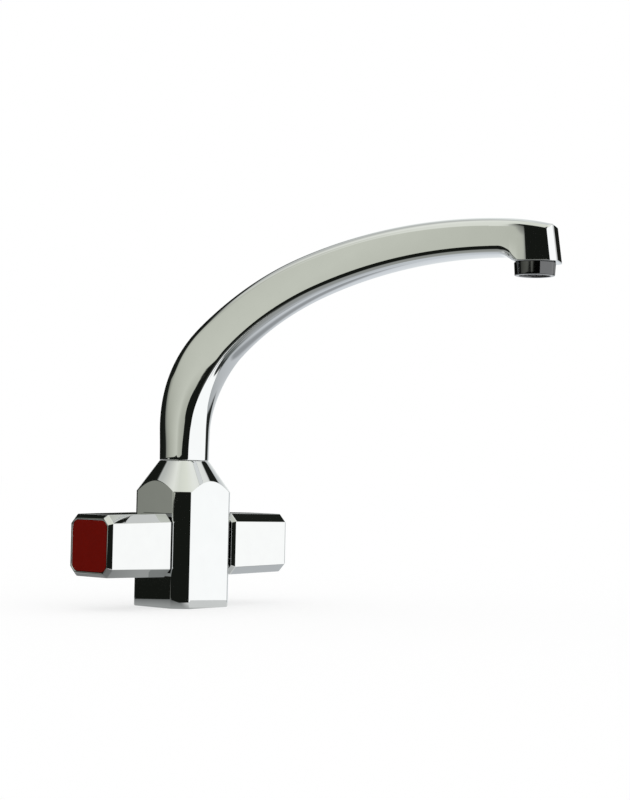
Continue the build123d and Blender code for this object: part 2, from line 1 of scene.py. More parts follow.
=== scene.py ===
# %% [markdown]
# # A two handle kitchen mixer tap, dressed for its picture
#
# The tap is one cast body, a swivelling arched spout and two square bar handles, all chrome plated.
# Chrome has no colour of its own: what the eye sees is the room in it. So this lesson does two things.
# It rebuilds the plated pieces with perfectly smooth skins, and it builds a studio worth reflecting.

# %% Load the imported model
import json
import math

import bmesh
import bpy
from mathutils import Matrix, Vector

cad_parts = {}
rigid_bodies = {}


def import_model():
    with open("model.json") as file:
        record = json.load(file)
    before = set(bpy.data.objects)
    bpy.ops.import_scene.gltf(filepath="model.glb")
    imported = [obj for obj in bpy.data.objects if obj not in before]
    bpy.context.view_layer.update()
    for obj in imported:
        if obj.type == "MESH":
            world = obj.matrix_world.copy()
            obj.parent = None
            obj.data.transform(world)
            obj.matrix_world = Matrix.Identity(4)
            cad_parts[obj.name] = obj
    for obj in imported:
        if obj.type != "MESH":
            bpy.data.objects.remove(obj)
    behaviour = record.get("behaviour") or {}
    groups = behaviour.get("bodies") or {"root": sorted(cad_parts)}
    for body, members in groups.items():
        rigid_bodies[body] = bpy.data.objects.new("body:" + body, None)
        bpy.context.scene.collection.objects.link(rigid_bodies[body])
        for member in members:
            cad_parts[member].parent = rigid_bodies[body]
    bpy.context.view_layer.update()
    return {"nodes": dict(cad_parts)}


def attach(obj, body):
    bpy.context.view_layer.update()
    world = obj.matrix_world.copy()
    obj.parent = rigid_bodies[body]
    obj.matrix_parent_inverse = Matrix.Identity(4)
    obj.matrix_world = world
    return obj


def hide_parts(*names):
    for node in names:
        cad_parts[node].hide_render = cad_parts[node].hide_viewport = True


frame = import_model()
MM = 0.001

# %% [markdown]
# ## Small helpers
#
# Colours are written as sRGB hex values, as a paint card gives them, and turned to linear light by one
# function. One more function adds a shader node with its settings and links. Another turns rings of
# points into a mesh whose faces all have four corners, which bends reflections evenly.

# %% Colours and nodes
def linear(hex_colour):
    """An sRGB hex value as linear RGBA."""
    channels = [int(hex_colour[i : i + 2], 16) / 255 for i in (1, 3, 5)]
    return tuple(c / 12.92 if c < 0.04045 else ((c + 0.055) / 1.055) ** 2.4 for c in channels) + (1.0,)


def add(tree, kind, settings=None, **links):
    """Adds a node. A link's name is the input's name or number; its value is a socket or a plain value."""
    node = tree.nodes.new(kind)
    for name, value in (settings or {}).items():
        setattr(node, name, value)
    for name, value in links.items():
        key = int(name[1:]) if name[0] == "_" and name[1:].isdigit() else name.replace("_", " ")
        if isinstance(value, bpy.types.NodeSocket):
            tree.links.new(value, node.inputs[key])
        else:
            node.inputs[key].default_value = value
    return node


def mixed(tree, share, under, over):
    """The mix of two colours by a share. A colour is an sRGB hex value or a socket."""
    under, over = (linear(colour) if isinstance(colour, str) else colour for colour in (under, over))
    return add(tree, "ShaderNodeMix", {"data_type": "RGBA"}, _0=share, _6=under, _7=over).outputs[2]


print("chrome grey in linear light:", [round(c, 3) for c in linear("#D4D6D6")])


# %% Meshes
def span(start, end, steps):
    """The ends of equal steps from start to end, without the start itself."""
    return [start + (end - start) * i / steps for i in range(1, steps + 1)]


def placed(name, data):
    """A new object in the scene, at the origin."""
    piece = bpy.data.objects.new(name, data)
    bpy.context.scene.collection.objects.link(piece)
    return piece


def grid_mesh(name, rings, caps=(False, False)):
    """A skin through closed rings of points (in millimetres), each ring with as many points."""
    count = len(rings[0])
    points = [Vector(p) * MM for ring in rings for p in ring]
    faces = []
    for r in range(len(rings) - 1):
        for i in range(count):
            j = (i + 1) % count
            faces.append((r * count + i, r * count + j, (r + 1) * count + j, (r + 1) * count + i))
    if caps[0]:
        faces.append(tuple(reversed(range(count))))
    if caps[1]:
        faces.append(tuple(range((len(rings) - 1) * count, len(rings) * count)))
    mesh = bpy.data.meshes.new(name)
    mesh.from_pydata(points, [], faces)
    mesh.update()
    return placed(name, mesh)


def outward(piece):
    """Merges doubles and turns every face outwards."""
    work = bmesh.new()
    work.from_mesh(piece.data)
    bmesh.ops.remove_doubles(work, verts=work.verts, dist=1e-7)
    bmesh.ops.recalc_face_normals(work, faces=work.faces)
    work.to_mesh(piece.data)
    work.free()


def soften(piece, width=0.0, angle=0):
    """Gives edges that turn by more than an angle the radius that polishing leaves, then smooths the shading."""
    if width:
        bevel = piece.modifiers.new("buffed edges", "BEVEL")
        bevel.width = width * MM
        bevel.segments = 3
        bevel.limit_method = "ANGLE"
        bevel.angle_limit = math.radians(angle)
        bevel.use_clamp_overlap = True
    piece.data.shade_smooth()
    even = piece.modifiers.new("true flats", "WEIGHTED_NORMAL")
    even.mode = "FACE_AREA"
    even.weight = 50
    even.keep_sharp = True


def settle(piece):
    """Bakes the modifiers of a piece into a plain mesh."""
    graph = bpy.context.evaluated_depsgraph_get()
    baked = bpy.data.meshes.new_from_object(piece.evaluated_get(graph), depsgraph=graph)
    piece.modifiers.clear()
    piece.data = baked


# %% [markdown]
# ## Chrome plate
#
# The brass and zinc are polished, plated with nickel and then with a very thin layer of chromium.
# That gives a slightly cool grey mirror that returns about two thirds of the light. A mirror could be a
# glossy shader with no roughness at all, but real plate is never that clean: the buffing wheel leaves
# low waves a few millimetres long, and wiping leaves a faint haze in patches. Both are added here, very
# weakly, from noise whose scale is worked out in millimetres.

# %% Metal materials
def new_material(name):
    material = bpy.data.materials.new(name)
    material.use_nodes = True
    tree = material.node_tree
    tree.nodes.clear()
    return material, tree


def noise(tree, size, detail=2.0):
    """Noise whose bumps are so many millimetres apart."""
    place = add(tree, "ShaderNodeTexCoord").outputs["Object"]
    return add(tree, "ShaderNodeTexNoise", Vector=place, Scale=1 / (size * MM), Detail=detail).outputs["Fac"]


def ranged(tree, value, low, high):
    return add(tree, "ShaderNodeMapRange", Value=value, To_Min=low, To_Max=high).outputs["Result"]


def metal(name, colour, dark_colour, roughness, haze, wave_size, wave_height):
    """A polished metal: a colour that drifts a little, hazy patches and the waves of polishing."""
    material, tree = new_material(name)
    tint = mixed(tree, noise(tree, 9.0), dark_colour, colour)
    waves = noise(tree, wave_size, 1.0)
    bump = add(tree, "ShaderNodeBump", Strength=1.0, Distance=wave_height * MM, Height=waves)
    shader = add(
        tree,
        "ShaderNodeBsdfPrincipled",
        Base_Color=tint,
        Metallic=1.0,
        Roughness=ranged(tree, noise(tree, 14.0, 4.0), roughness, roughness + haze),
        Normal=bump.outputs["Normal"],
    )
    add(tree, "ShaderNodeOutputMaterial", Surface=shader.outputs["BSDF"])
    return material


# Chrome-plated brass: a cool grey mirror, with hardly any haze
chrome_on_brass = metal("chrome_plated_brass", "#D4D6D6", "#D0D2D2", 0.015, 0.015, 16.0, 0.006)
# Chrome-plated die-cast zinc: the same plate, over a casting that holds slightly more wave
chrome_on_zinc = metal("chrome_plated_zinc", "#D4D6D5", "#D0D1D1", 0.015, 0.018, 11.0, 0.004)
# Turned brass: yellow, with the dull sheen that a lathe tool leaves
turned_brass = metal("turned_brass", "#D9B36A", "#B98F4A", 0.22, 0.12, 0.6, 0.004)
# Nickel-plated brass: the headwork and the spigot, in a grey darker than real nickel, which is painted shade so that
# the narrow gaps stay quiet and dark
nickel_painted_dark = metal("nickel_plated_brass_painted_dark", "#77746E", "#67645E", 0.3, 0.12, 0.6, 0.004)
# Black chrome: the dark plate on the aerator's collar
black_chrome = metal("black_chrome_plate", "#626364", "#58595A", 0.05, 0.03, 6.0, 0.003)
# Stainless spring steel and screws: grey, drawn wire or cold-headed
stainless = metal("bright_stainless_steel", "#C2C0BC", "#9C9A96", 0.16, 0.1, 0.8, 0.003)
print("metals:", chrome_on_brass.name, chrome_on_zinc.name, turned_brass.name, stainless.name)


# %% [markdown]
# ## Plastics, rubber and ceramic
#
# The index plates are moulded acrylic, coloured through, red for hot and blue for cold. The seals are
# black nitrile rubber, the bearings white acetal, and the valve discs are lapped alumina. They differ
# in how sharp their highlights are and in the grain of their skins, so each gets its own numbers.

# %% Plastic materials
def moulded(name, colour, dark_colour, roughness, grain_size, grain_height, specular=0.5, ior=1.49):
    """A plastic, rubber or ceramic skin: a slightly uneven colour under a fine grain."""
    material, tree = new_material(name)
    tint = mixed(tree, noise(tree, 6.0), dark_colour, colour)
    grain = noise(tree, grain_size, 2.0)
    bump = add(tree, "ShaderNodeBump", Strength=1.0, Distance=grain_height * MM, Height=grain)
    shader = add(
        tree,
        "ShaderNodeBsdfPrincipled",
        Base_Color=tint,
        Roughness=ranged(tree, noise(tree, 5.0, 3.0), roughness, roughness + 0.08),
        IOR=ior,
        Specular_IOR_Level=specular,
        Normal=bump.outputs["Normal"],
    )
    add(tree, "ShaderNodeOutputMaterial", Surface=shader.outputs["BSDF"])
    return material


red_acrylic = moulded("red_acrylic", "#720E06", "#690C05", 0.16, 7.0, 0.001, specular=0.06)
blue_acrylic = moulded("blue_acrylic", "#0A2A78", "#08236A", 0.16, 7.0, 0.001, specular=0.06)
nitrile_rubber = moulded("black_nitrile_rubber", "#1B1B1C", "#141415", 0.5, 0.5, 0.01, ior=1.52)
white_acetal = moulded("white_acetal", "#E6E4DC", "#DAD8D0", 0.35, 0.8, 0.004, ior=1.48)
grey_acetal = moulded("dark_grey_acetal", "#34363A", "#2A2C2F", 0.4, 0.6, 0.005, ior=1.48)
alumina = moulded("lapped_alumina", "#ECEBE6", "#E2E1DB", 0.15, 0.3, 0.001, ior=1.77)
print("index colours:", red_acrylic.name, blue_acrylic.name)

# %% [markdown]
# ## Dress the hidden pieces
#
# Most CAD nodes sit inside the tap: seals, discs, spindles and screws. They keep their shapes, and each
# gets the material of the real piece, chosen by the words in its name.

# %% Materials on the CAD nodes
BY_WORD = (
    ("gasket", nitrile_rubber), ("o_ring", nitrile_rubber), ("seat_seal", nitrile_rubber),
    ("slip_rings", white_acetal), ("glide_washer", white_acetal), ("spline_bush", white_acetal),
    ("disc", alumina), ("clip", stainless), ("screw", stainless),
    ("spigot", nickel_painted_dark), ("valve_housing", nickel_painted_dark), ("spindle", turned_brass),
    ("aerator_insert", grey_acetal), ("aerator_screen", grey_acetal),
    ("hot_index_plate", red_acrylic), ("cold_index_plate", blue_acrylic),
    ("handle", chrome_on_zinc), ("", chrome_on_brass),
)
for name, node in frame["nodes"].items():
    finish = next(material for word, material in BY_WORD if word in name)
    node.data.materials.clear()
    node.data.materials.append(finish)
print(len(frame["nodes"]), "nodes dressed")

# %% [markdown]
# ## The body
#
# On the real tap this is a bar of cast brass: a turned cylinder with a cone on top, on which four flats
# are then milled. Where a flat runs up into the cone it ends in an arch, because a plane cuts a cone in
# a hyperbola. Polishing rounds every edge by about a millimetre. A boolean of a cone and a box gives
# the right form but leaves razor edges and slivers. So the skin is drawn as a net instead: one outline
# seen from above, and above each of its points an upright profile that turns into the cone.

# %% Outline of the body from above
FLATS, BLANK, SHOULDER, NECK_TOP, NECK = 48.0, 57.6, 70.4, 89.4, 30.0
CORNER_BUFF, ARCH_BUFF, RIM_BUFF, NECK_BUFF = 1.6, 1.3, 0.5, 0.35


def body_outline():
    """An eighth of the outline, from the middle of one flat to the middle of the next corner strip."""
    flat, blank = FLATS / 2, BLANK / 2
    x = flat - CORNER_BUFF
    y = math.sqrt((blank - CORNER_BUFF) ** 2 - x * x)
    points = [(flat, y * i / 12) for i in range(13)]
    meet = math.atan2(y, x)
    points += [(x + CORNER_BUFF * math.cos(a), y + CORNER_BUFF * math.sin(a)) for a in span(0, meet, 8)]
    return points + [(blank * math.cos(a), blank * math.sin(a)) for a in span(meet, math.pi / 4, 6)]


def whole_outline(eighth):
    """Mirrors an eighth of an outline into the whole, anticlockwise."""
    quarter = eighth + [(y, x) for x, y in reversed(eighth[1:-1])]
    outline = []
    for turn in range(4):
        c, s = round(math.cos(turn * math.pi / 2)), round(math.sin(turn * math.pi / 2))
        outline += [(c * x - s * y, s * x + c * y) for x, y in quarter]
    return outline


outline = whole_outline(body_outline())
print("points in the body's outline:", len(outline))


# %% Skin of the body
def body_column(radius):
    """The upright profile above one point of the outline, as (radius, height) pairs."""
    slope = (BLANK - NECK) / 2 / (NECK_TOP - SHOULDER)
    meet = SHOULDER + (BLANK / 2 - radius) / slope
    lean = math.atan(slope)
    cut = ARCH_BUFF * math.tan(lean / 2)
    column = [(radius - 1.0, 0.0), (radius - RIM_BUFF, 0.0)]
    for a in span(0, math.pi / 2, 4):
        column.append((radius - RIM_BUFF * (1 - math.sin(a)), RIM_BUFF * (1 - math.cos(a))))
    column += [(radius, height) for height in span(RIM_BUFF, meet - cut, 16)]
    for a in span(0, lean, 8):
        column.append((radius - ARCH_BUFF * (1 - math.cos(a)), meet - cut + ARCH_BUFF * math.sin(a)))
    start_r, start_z = column[-1]
    end_r, end_z = NECK / 2 + NECK_BUFF * math.sin(lean), NECK_TOP - NECK_BUFF * math.cos(lean)
    column += zip(span(start_r, end_r, 14), span(start_z, end_z, 14))
    column += [(NECK / 2 - 0.1, NECK_TOP - 0.08), (NECK / 2 - 0.4, NECK_TOP), (NECK / 2 - 2, NECK_TOP)]
    return column


columns = [body_column(math.hypot(x, y)) for x, y in outline]
rings = []
for level in range(len(columns[0])):
    ring = []
    for (x, y), column in zip(outline, columns):
        radius, height = column[level]
        share = radius / math.hypot(x, y)
        ring.append((x * share, y * share, height))
    rings.append(ring)
body = grid_mesh("body_casting", rings, caps=(True, True))
print("body faces:", len(body.data.polygons))


# %% [markdown]
# The underside has the hose holes, the stud hole and the groove for the gasket, and the sides have the
# valve bores. These are cut with booleans, because they lie in flat faces where a boolean is clean.

# %% Holes in the body
def lathe(name, profile, place=(0, 0, 0), turn=None, steps=96):
    """A turned piece about Z from (radius, height) pairs, then moved to its place (in millimetres)."""
    rings = []
    for radius, height in profile + profile[:1]:
        ring = []
        for i in range(steps):
            angle = 2 * math.pi * i / steps
            ring.append((radius * math.cos(angle), radius * math.sin(angle), height))
        rings.append(ring)
    piece = grid_mesh(name, rings)
    move = Matrix.Translation(Vector(place) * MM) @ (turn or Matrix.Identity(4))
    piece.data.transform(move)
    outward(piece)
    return piece


def drill(piece, profiles):
    """Cuts turned shapes out of a piece, each a (profile, place, turn)."""
    for number, (profile, place, turn) in enumerate(profiles):
        tool = lathe(f"tool_{number}", profile, place, turn, steps=64)
        cut = piece.modifiers.new(f"cut {number}", "BOOLEAN")
        cut.operation = "DIFFERENCE"
        cut.solver = "EXACT"
        cut.object = tool
    settle(piece)
    for number in range(len(profiles)):
        bpy.data.objects.remove(bpy.data.objects[f"tool_{number}"])


def plug(radius, low, high, inner=0.001):
    """The profile of a cylinder, or of a ring, between two heights."""
    return [(inner, low), (radius, low), (radius, high), (inner, high)]


VALVE_HEIGHT, BELOW = 38.1, -1
lay_hot, lay_cold = Matrix.Rotation(-math.pi / 2, 4, "Y"), Matrix.Rotation(math.pi / 2, 4, "Y")
hose_hole, stud_hole, gasket_groove = plug(4.46, BELOW, 14), plug(3.4, BELOW, 16), plug(21.9, BELOW, 2, 18.6)
spout_socket, valve_bore = plug(10.08, 60, 91), plug(10.0, 9, 26)
drill(body, [
    (hose_hole, (-8, 0, 0), None),
    (hose_hole, (8, 0, 0), None),
    (stud_hole, (0, 13.5, 0), None),
    (gasket_groove, (0, 0, 0), None),
    (spout_socket, (0, 0, 0), None),
    (valve_bore, (0, 0, VALVE_HEIGHT), lay_hot),
    (valve_bore, (0, 0, VALVE_HEIGHT), lay_cold),
])
body.data.set_sharp_from_angle(angle=math.radians(35))
soften(body)
body.data.materials.append(chrome_on_brass)
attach(body, "body")
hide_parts("mixer_body")
print("body after drilling:", len(body.data.polygons), "faces")

# %% [markdown]
# ## The spout
#
# The real spout is a hollow casting. Its centre line rises, then bends over in three arcs that flow
# into each other, and its section turns from a circle at the swivel into a square with round corners.
# A curve with a bevel could follow the path, but not change its section this freely. So the skin is
# again a net: one ring for each step along the path, and every ring has the same points in the same
# order, so the lines of the net run along the edges of the casting and the reflections flow with them.

# %% Centre line and section of the spout
SWING = math.radians(25.0)
AHEAD = Vector((math.sin(SWING), -math.cos(SWING), 0))
ACROSS = Vector((-math.cos(SWING), -math.sin(SWING), 0))
UP = Vector((0, 0, 1))
SPOUT_BASE, SPOUT_RISE = 89.7, 107.3
BENDS = ((79.0, 45.0), (182.0, 22.5), (284.93, 32.5))
BASE_WIDTH, WIDTH, EDGE, SIDE_TURN = 30.3, 27.5, 4.8, 2.5
ROUND_LENGTH, BLEND_LENGTH = 4.0, 70.0
PATH_LENGTH = SPOUT_RISE - SPOUT_BASE + sum(r * math.radians(t) for r, t in BENDS)
STATIONS = ((0.0, 30.3), (40.0, 31.3), (80.0, 27.2), (140.0, 25.3), (PATH_LENGTH, 20.4))


def centre(distance):
    """Forward place, height and slope at a distance along the centre line."""
    straight = SPOUT_RISE - SPOUT_BASE
    if distance <= straight:
        return 0.0, SPOUT_BASE + distance, math.pi / 2
    forward, height, slope, left = 0.0, SPOUT_RISE, math.pi / 2, distance - straight
    for radius, turn in BENDS:
        angle = min(left / radius, math.radians(turn))
        forward += radius * (math.sin(slope) - math.sin(slope - angle))
        height += radius * (math.cos(slope - angle) - math.cos(slope))
        slope -= angle
        left -= radius * angle
        if left <= 0:
            break
    return forward, height, slope


def half_depth(distance):
    """Half the height of the section, from a smooth curve through five stations."""
    slopes = [0.0]
    for i in range(1, len(STATIONS) - 1):
        rise = STATIONS[i + 1][1] - STATIONS[i - 1][1]
        slopes.append(rise / (STATIONS[i + 1][0] - STATIONS[i - 1][0]))
    slopes.append((STATIONS[-1][1] - STATIONS[-2][1]) / (STATIONS[-1][0] - STATIONS[-2][0]))
    i = next((k for k in range(len(STATIONS) - 2) if distance <= STATIONS[k + 1][0]), len(STATIONS) - 2)
    (a, low), (b, high) = STATIONS[i], STATIONS[i + 1]
    t = min(1.0, (distance - a) / (b - a))
    start = low + slopes[i] * (b - a) * t * (1 - t) ** 2
    return (start + (high - low) * t * t * (3 - 2 * t) - slopes[i + 1] * (b - a) * t * t * (1 - t)) / 2


def squareness(distance):
    share = max(0.0, min(1.0, (distance - ROUND_LENGTH) / BLEND_LENGTH))
    return share * share * (3 - 2 * share)


print("length of the centre line:", round(PATH_LENGTH, 1), "mm")

# %% One ring of the skin
SIDE_STEPS, CORNER_STEPS, TOP_STEPS = 6, 18, 6


def quarter(half_width, half_height, corner, turn):
    """A quarter of the section from the middle of the side to the middle of the top: three arcs that
    meet smoothly. The first and the last each turn by the same small angle."""
    sine, cosine = math.sin(turn), math.cos(turn)
    spread = sine * sine - (1 - cosine) ** 2
    width_left = half_width - corner * (cosine - sine)
    height_left = half_height - corner * (cosine - sine)
    side = (sine * height_left - (1 - cosine) * width_left) / spread
    top = (sine * width_left - (1 - cosine) * height_left) / spread
    points = []
    for i in range(SIDE_STEPS):
        a = turn * i / SIDE_STEPS
        points.append((half_width - side * (1 - math.cos(a)), side * math.sin(a)))
    end_x, end_y = half_width - side * (1 - cosine), side * sine
    for i in range(CORNER_STEPS):
        a = turn + (math.pi / 2 - 2 * turn) * i / CORNER_STEPS
        points.append((end_x + corner * (math.cos(a) - cosine), end_y + corner * (math.sin(a) - sine)))
    for i in range(TOP_STEPS + 1):
        a = turn * (1 - i / TOP_STEPS)
        points.append((top * math.sin(a), half_height - top * (1 - math.cos(a))))
    return points


def section(half_width, upper, lower):
    """The whole section from the middle of the near side, anticlockwise. The upper and the lower half
    each have their own (height, corner radius, turn)."""
    above = quarter(half_width, *upper)
    below = quarter(half_width, *lower)
    points = above + [(-x, y) for x, y in reversed(above[:-1])]
    points += [(-x, -y) for x, y in below[1:]]
    return points + [(x, -y) for x, y in reversed(below[1:-1])]


def section_numbers(distance):
    """Half width, half height, corner radius and turn of the section at a distance."""
    square = squareness(distance)
    half_width = (BASE_WIDTH * (1 - square) + WIDTH * square) / 2
    corner = half_width * (1 - square) + EDGE * square
    turn = math.radians(22.5 * (1 - square) + SIDE_TURN * square)
    return half_width, half_depth(distance), corner, turn


sample = section_numbers(PATH_LENGTH)
print("points in a ring:", len(section(sample[0], sample[1:], sample[1:])))

# %% [markdown]
# ### The tip
#
# Near its end the spout drops by a short slope to a level underside, and it ends in a nose with round
# corners that leans out towards the bottom. Here each ring of the net stands between a point of the
# top line and a point of the bottom line, so the rings can fan round until the last one lies in the
# end face. Its width then follows the round corners, and the last rings draw in by the buffed edge.

# %% Top and bottom lines near the tip
UNDERSIDE, DROP_START, DROP, DROP_END = 209.3, 198.2, 6.2, 205.6
INNER_BLEND, OUTER_BLEND, TAPER_BLEND = 3.0, 1.6, 0.8
TIP, NOSE_RADIUS, LEAN, NOSE_BUFF, FOOT_BUFF = 231.8, 6.0, math.radians(7.5), 0.8, 0.6
NOSE_LENGTH, NOSE_TAPER = 17.0, math.radians(2.0)
DROOP, DROOP_FROM, DROOP_RUN = 1.3, 203.0, 26.0
CRISP_FROM, CRISP_RUN, CRISP_TURN, SPLIT, SPLIT_RUN = 204.5, 4.5, 0.3, 10.25, 14.0
MOST_SOFT, SOFT_SHARE, NOT_ZERO = 0.9, 0.6, 1e-6


def rounding(apart, width):
    """How far a curve that joins two lines stands off them where they are so far apart."""
    return max(width - abs(apart), 0) ** 2 / (4 * width)


def skin_point(distance, side):
    """A point of the top (side 1) or the bottom line (side -1), as (forward, height)."""
    forward, height, slope = centre(distance)
    half = half_depth(distance)
    return forward - side * half * math.sin(slope), height + side * half * math.cos(slope)


def skin_height(forward, side):
    """The height of the top or the bottom line at a distance forward, found by halving."""
    low, high = 120.0, PATH_LENGTH
    for _ in range(40):
        middle = (low + high) / 2
        if skin_point(middle, side)[0] < forward:
            low = middle
        else:
            high = middle
    return skin_point((low + high) / 2, side)[1]


def bottom_height(forward):
    """The bottom line with its drop, its inner corner and its outer corner rounded a little."""
    slope_line = UNDERSIDE + DROP * (DROP_END - forward) / (DROP_END - DROP_START)
    casting = skin_height(forward, -1)
    inner = min(casting, slope_line) - rounding(casting - slope_line, INNER_BLEND)
    return max(inner, UNDERSIDE) + rounding(inner - UNDERSIDE, OUTER_BLEND)


def top_height(forward):
    """The top line, which buffing lets droop a little over the nose."""
    return skin_height(forward, 1) - DROOP * (max(forward - DROOP_FROM, 0) / DROOP_RUN) ** 2


top_end = TIP
for _ in range(6):
    top_end = TIP - (top_height(top_end) - UNDERSIDE) * math.tan(LEAN)
print("the end face leans back by", round(TIP - top_end, 2), "mm at the top")

# %% Rings of the spout
TIP_RINGS_FROM, FIRST_PLACE, DROP_DONE = 262.0, 192.0, 208.5
BASE_ROUND = ((2.0, -0.18), (0.5, -0.18), (0.38, -0.15), (0.15, -0.03), (0.03, 0.2))
rings = []


def ring_at(points, origin, upward):
    """Places a section's points: across the spout, and along an upward line from an origin."""
    return [tuple(origin + ACROSS * x + upward * y) for x, y in points]


half_width, half, corner, turn = section_numbers(0.0)
for shrink, rise in BASE_ROUND:
    numbers = (half - shrink, corner - shrink, turn)
    rings.append(ring_at(section(half_width - shrink, numbers, numbers), UP * (SPOUT_BASE + rise), -AHEAD))
for distance in span(0.0, TIP_RINGS_FROM, 150):
    forward, height, slope = centre(distance)
    half_width, half, corner, turn = section_numbers(distance)
    upward = UP * math.cos(slope) - AHEAD * math.sin(slope)
    points = section(half_width, (half, corner, turn), (half, corner, turn))
    rings.append(ring_at(points, AHEAD * forward + UP * height, upward))

start_bottom = skin_point(TIP_RINGS_FROM, -1)[0]
start_top = skin_point(TIP_RINGS_FROM, 1)[0]
start_half = half_depth(TIP_RINGS_FROM)
turn_in = TIP - NOSE_LENGTH
places = [FIRST_PLACE] + span(FIRST_PLACE, DROP_DONE, 68) + span(DROP_DONE, turn_in - TAPER_BLEND, 8)
places += span(turn_in - TAPER_BLEND, turn_in + TAPER_BLEND, 6) + span(turn_in + TAPER_BLEND, TIP - NOSE_RADIUS, 8)
places += [TIP - NOSE_RADIUS * (1 - math.sin(math.pi / 2 * i / 24)) for i in range(1, 23)]
places += [TIP - NOSE_BUFF * (1 - math.sin(math.pi / 2 * i / 6)) for i in range(7)]
places = sorted(set(places))
for place in places:
    share = (place - start_bottom) / (TIP - start_bottom)
    top_place = start_top + (top_end - start_top) * share
    bottom = AHEAD * place + UP * bottom_height(place)
    top = AHEAD * top_place + UP * top_height(top_place)
    tall = (top - bottom).length
    upward = (top - bottom).normalized()
    crisp = max(0.0, min(1.0, (place - CRISP_FROM) / CRISP_RUN))
    half = SPLIT + (start_half - SPLIT) * max(0.0, 1 - (place - start_bottom) / SPLIT_RUN)
    foot = EDGE + (FOOT_BUFF - EDGE) * crisp
    turn = math.radians(SIDE_TURN)
    low_turn = math.radians(SIDE_TURN + (CRISP_TURN - SIDE_TURN) * crisp)
    from_end = TIP - place
    inwards = place - turn_in
    drawn = max(inwards, 0) + rounding(inwards, TAPER_BLEND)
    width = WIDTH / 2 - drawn * math.tan(NOSE_TAPER)
    points = section(width, (half, EDGE, turn), (tall - half, foot, low_turn))
    if from_end < NOSE_RADIUS:
        reach = NOSE_RADIUS - from_end
        limit = width - NOSE_RADIUS + math.sqrt(max(NOSE_RADIUS**2 - reach**2, 0))
        limit = min(limit, width)
        soft = min(MOST_SOFT, SOFT_SHARE * (width - limit)) + NOT_ZERO
        for number, (x, y) in enumerate(points):
            near = min(abs(x), limit) - rounding(abs(x) - limit, soft)
            points[number] = (math.copysign(near, x), y)
    if from_end < NOSE_BUFF:
        reach = NOSE_BUFF - from_end
        draw = NOSE_BUFF - math.sqrt(max(NOSE_BUFF**2 - reach**2, 0))
        wide = max(abs(x) for x, _ in points)
        middle = half - tall / 2
        points = [(x * (wide - draw) / wide, middle + (y - middle) * (tall - 2 * draw) / tall) for x, y in points]
    rings.append(ring_at(points, top - upward * half, upward))
spout = grid_mesh("spout_casting", rings, caps=(True, True))
outward(spout)
print("spout rings:", len(rings), "faces:", len(spout.data.polygons))

# %% Waterway and finish of the spout
OUTLET = AHEAD * 217.0
spigot_hole, outlet_hole = plug(10.04, 80, 103.7), plug(11.45, 200, 219.9)
drill(spout, [(spigot_hole, (0, 0, 0), None), (outlet_hole, tuple(OUTLET), None)])
spout.data.set_sharp_from_angle(angle=math.radians(40))
soften(spout)
spout.data.materials.append(chrome_on_brass)
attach(spout, "swivel_spout")
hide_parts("spout")
print("spout after drilling:", len(spout.data.polygons), "faces")

# %% [markdown]
# ## The handles
#
# Each handle is a die-cast square bar with chamfered long edges and a bevelled end, slightly slimmer
# outwards. Flat mirrors show every error, so the bar is built from a few exact faces, and a Bevel
# modifier rounds its edges by a third of a millimetre, as the plating and the buffing wheel do.

# %% Outlines of a handle
HANDLE_IN, HANDLE_OUT, WIDE_IN, WIDE_OUT, CHAMFER = 26.6, 75.7, 38.2, 36.8, 5.0
START, INNER_EDGE, WALL, HOLLOW_END, EDGE_BUFF = 25.6, 2.3, 2.6, 60.0, 0.35
END_BEVEL, END_INSET, RECESS, OPENING, OPENING_CORNER = 2.6, 1.95, 1.3, 30.5, 4.9
PLATE, PLATE_CORNER, PLATE_THICK = 30.3, 4.8, 1.1
SHARE = 2 - math.sqrt(2)


def octagon(level, inset):
    """The bar's eight corners at a distance outwards, set in by so much."""
    taper = (level - HANDLE_IN) / (HANDLE_OUT - HANDLE_IN)
    half = (WIDE_IN + (WIDE_OUT - WIDE_IN) * taper) / 2 - inset
    near = half - (CHAMFER - inset * SHARE)
    corners = [(half, -near), (half, near), (near, half), (-near, half)]
    return [(x, y, level) for x, y in corners + [(-x, -y) for x, y in corners]]


def rounded_square(width, corner, level, steps=10):
    """A square with round corners, starting beside the first corner of the octagon."""
    points = []
    near = width / 2 - corner
    for turn, (x, y) in enumerate(((near, near), (-near, near), (-near, -near), (near, -near))):
        for i in range(steps + 1):
            angle = math.pi / 2 * (turn + i / steps)
            points.append((x + corner * math.cos(angle), y + corner * math.sin(angle), level))
    return points


print("corner points of a plate:", len(rounded_square(PLATE, PLATE_CORNER, 0)))


# %% Build a handle and its plate
def solid_from_loops(name, loops):
    """A skin through loops of points that may differ in count, closed by a face at either end."""
    work = bmesh.new()
    made = [[work.verts.new(Vector(p) * MM) for p in loop] for loop in loops]
    for a, b in zip(made, made[1:]):
        if len(a) == len(b):
            for i in range(len(a)):
                j = (i + 1) % len(a)
                work.faces.new((a[i], a[j], b[j], b[i]))
        else:
            pairs = [(loop[i], loop[(i + 1) % len(loop)]) for loop in (a, b) for i in range(len(loop))]
            edges = [work.edges.get(pair) or work.edges.new(pair) for pair in pairs]
            bmesh.ops.triangle_fill(work, edges=edges, use_beauty=True)
    work.faces.new(made[0])
    work.faces.new(made[-1])
    bmesh.ops.recalc_face_normals(work, faces=work.faces)
    mesh = bpy.data.meshes.new(name)
    work.to_mesh(mesh)
    work.free()
    return placed(name, mesh)


def lay_on(piece, lay):
    piece.data.transform(Matrix.Translation((0, 0, VALVE_HEIGHT * MM)) @ lay)


